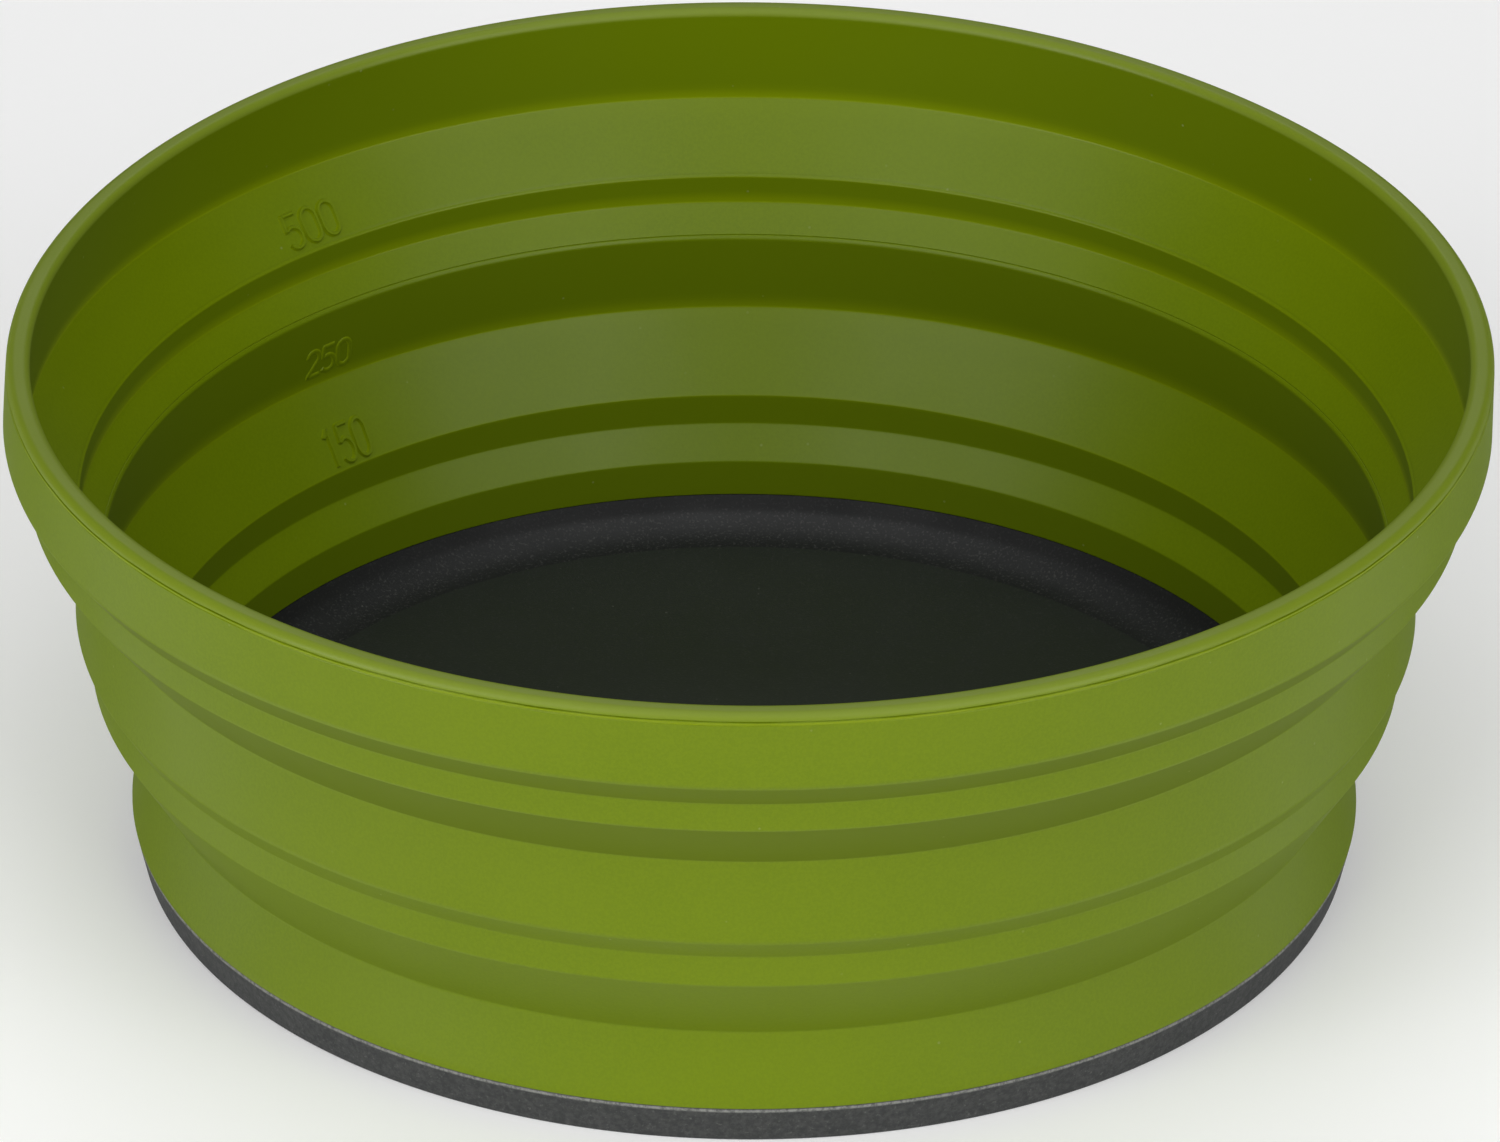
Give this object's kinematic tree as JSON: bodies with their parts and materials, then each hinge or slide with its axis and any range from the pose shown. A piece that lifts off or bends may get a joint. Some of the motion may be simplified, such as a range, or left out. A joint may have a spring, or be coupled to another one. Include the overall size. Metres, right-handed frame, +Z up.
{
  "type": "collapsible bowl",
  "caption": "Round collapsible bowl: a soft folding wall of stiff bands, panels and thin hinges on a rigid base plate, shown open.",
  "frame": {"origin": "centre of the foot ring, on the ground that the bowl stands on", "axes": "+Z up along the bowl's axis; X and Y lie in the ground, and the volume marks are on the -X side"},
  "size_m": [0.155, 0.155, 0.0581],
  "materials": {
    "silicone": "matt olive-green moulded silicone",
    "nylon": "matt dark grey glass-filled nylon"
  },
  "bodies": {
    "base": {"base_plate": "nylon", "foot_band": "silicone", "lower_inner_hinge": "silicone", "lower_panel": "silicone", "lower_outer_hinge": "silicone"},
    "middle": {"middle_band": "silicone", "upper_inner_hinge": "silicone", "upper_panel": "silicone", "upper_outer_hinge": "silicone"},
    "rim": {"rim_band": "silicone"}
  },
  "joints": [
    {"name": "lower_fold", "type": "slide", "parent": "base", "child": "middle", "axis": [0, 0, 1], "range_m": [-0.019, 0], "deforming": ["lower_inner_hinge", "lower_panel", "lower_outer_hinge"]},
    {"name": "upper_fold", "type": "slide", "parent": "middle", "child": "rim", "axis": [0, 0, 1], "range_m": [-0.019, 0], "deforming": ["upper_inner_hinge", "upper_panel", "upper_outer_hinge"]}
  ]
}
